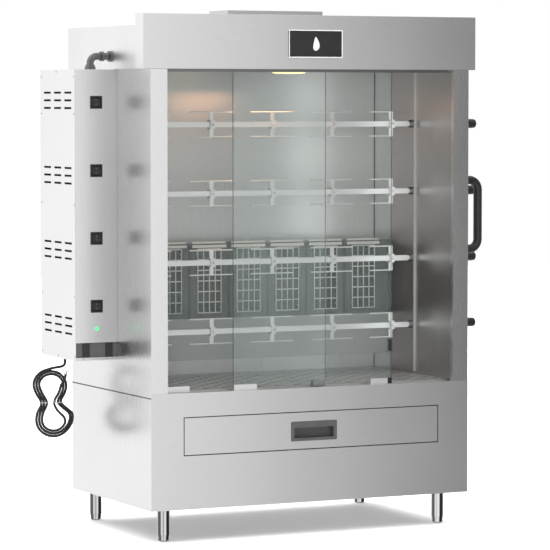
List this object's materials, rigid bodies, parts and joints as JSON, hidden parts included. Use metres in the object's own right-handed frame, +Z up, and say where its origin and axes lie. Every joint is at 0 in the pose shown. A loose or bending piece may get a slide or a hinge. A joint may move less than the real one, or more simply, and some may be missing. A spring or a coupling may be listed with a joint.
{
  "type": "rotisserie oven",
  "caption": "Upright stainless rotisserie oven on legs with sliding glass doors, turning spits, rear infrared burners, side control box, hood with flue, and drip drawer.",
  "frame": {"origin": "centre of the bounding box's bottom, on the floor, leaving out the free power cord", "axes": "+X to the right seen from the front, +Y to the back, +Z up"},
  "size_m": [1.6279, 0.733, 1.781],
  "materials": {
    "brushed_steel": "satin",
    "liner_steel": "satin",
    "plain_steel": "satin",
    "polished_steel": "polished",
    "door_glass": "polished",
    "clip_aluminium": "satin",
    "black_grip": "satin",
    "black_rocker": "satin",
    "dark_strip": "matte",
    "bush_metal": "satin",
    "burner_ceramic": "matte",
    "motor_housing": "satin",
    "insulation": "matte",
    "plate_face": "satin",
    "lamp_glass": "satin",
    "green_lens": "gloss",
    "cord_rubber": "matte"
  },
  "bodies": {
    "root": {"base_front_panel": "brushed_steel", "base_shell": "brushed_steel", "burner_guards": "polished_steel", "burner_housing": "plain_steel", "burners": "burner_ceramic", "cavity_liner": "liner_steel", "ceiling_panel": "liner_steel", "conduit": "bush_metal", "control_box_body": "brushed_steel", "cord_gland": "cord_rubber", "cord_hank": "cord_rubber", "cover_screws": "polished_steel", "door_tracks": "clip_aluminium", "drawer_runners": "plain_steel", "floor_grate": "liner_steel", "flue_collar": "brushed_steel", "gas_manifold": "plain_steel", "hood_body": "brushed_steel", "hood_fascia": "brushed_steel", "indicator_lamp": "green_lens", "insulation_panels": "insulation", "lamp_housing": "liner_steel", "lamp_lens": "lamp_glass", "left_outer_panel": "brushed_steel", "leg_tubes": "polished_steel", "levelling_feet": "polished_steel", "nameplate": "plate_face", "power_cord": "cord_rubber", "rear_outer_panel": "brushed_steel", "right_outer_panel": "brushed_steel", "service_strip": "dark_strip", "side_cover": "brushed_steel", "side_handle": "black_grip", "spit_bushes": "bush_metal", "spit_motors": "motor_housing", "switch_bezels": "black_grip"},
    "drawer": {"drawer_front": "brushed_steel", "drawer_tray": "plain_steel", "drawer_pull": "black_grip"},
    "left_door": {"left_door_glass": "door_glass", "left_door_clips": "clip_aluminium"},
    "right_door": {"right_door_glass": "door_glass", "right_door_clips": "clip_aluminium", "right_door_grip": "black_grip"},
    "spit_1": {"spit_1_bar": "polished_steel", "spit_1_forks": "polished_steel", "spit_1_grip": "black_grip"},
    "rocker_1": {"rocker_1": "black_rocker"},
    "spit_2": {"spit_2_bar": "polished_steel", "spit_2_forks": "polished_steel", "spit_2_grip": "black_grip"},
    "rocker_2": {"rocker_2": "black_rocker"},
    "spit_3": {"spit_3_bar": "polished_steel", "spit_3_forks": "polished_steel", "spit_3_grip": "black_grip"},
    "rocker_3": {"rocker_3": "black_rocker"},
    "spit_4": {"spit_4_bar": "polished_steel", "spit_4_forks": "polished_steel", "spit_4_grip": "black_grip"},
    "rocker_4": {"rocker_4": "black_rocker"}
  },
  "joints": [
    {"name": "drawer_slide", "type": "slide", "parent": "root", "child": "drawer", "axis": [0, -1, 0], "range_m": [0, 0.42]},
    {"name": "left_door_slide", "type": "slide", "parent": "root", "child": "left_door", "axis": [1, 0, 0], "range_m": [0, 0.47]},
    {"name": "right_door_slide", "type": "slide", "parent": "root", "child": "right_door", "axis": [1, 0, 0], "range_m": [-0.25, 0.227]},
    {"name": "spit_1_spin", "type": "hinge", "parent": "root", "child": "spit_1", "pos_m": [-0.02775, -0.0385, 1.3897], "axis": [1, 0, 0], "continuous": true},
    {"name": "spit_2_spin", "type": "hinge", "parent": "root", "child": "spit_2", "pos_m": [-0.02775, -0.0385, 1.1523], "axis": [1, 0, 0], "continuous": true},
    {"name": "spit_3_spin", "type": "hinge", "parent": "root", "child": "spit_3", "pos_m": [-0.02775, -0.0385, 0.9149], "axis": [1, 0, 0], "continuous": true},
    {"name": "spit_4_spin", "type": "hinge", "parent": "root", "child": "spit_4", "pos_m": [-0.02775, -0.0385, 0.6775], "axis": [1, 0, 0], "continuous": true},
    {"name": "rocker_1_tilt", "type": "hinge", "parent": "root", "child": "rocker_1", "pos_m": [-0.70375, -0.0755, 1.4665], "axis": [1, 0, 0], "range_deg": [0, 14]},
    {"name": "rocker_2_tilt", "type": "hinge", "parent": "root", "child": "rocker_2", "pos_m": [-0.70375, -0.0755, 1.237], "axis": [1, 0, 0], "range_deg": [0, 14]},
    {"name": "rocker_3_tilt", "type": "hinge", "parent": "root", "child": "rocker_3", "pos_m": [-0.70375, -0.0755, 1.009], "axis": [1, 0, 0], "range_deg": [0, 14]},
    {"name": "rocker_4_tilt", "type": "hinge", "parent": "root", "child": "rocker_4", "pos_m": [-0.70375, -0.0755, 0.78], "axis": [1, 0, 0], "range_deg": [0, 14]}
  ]
}
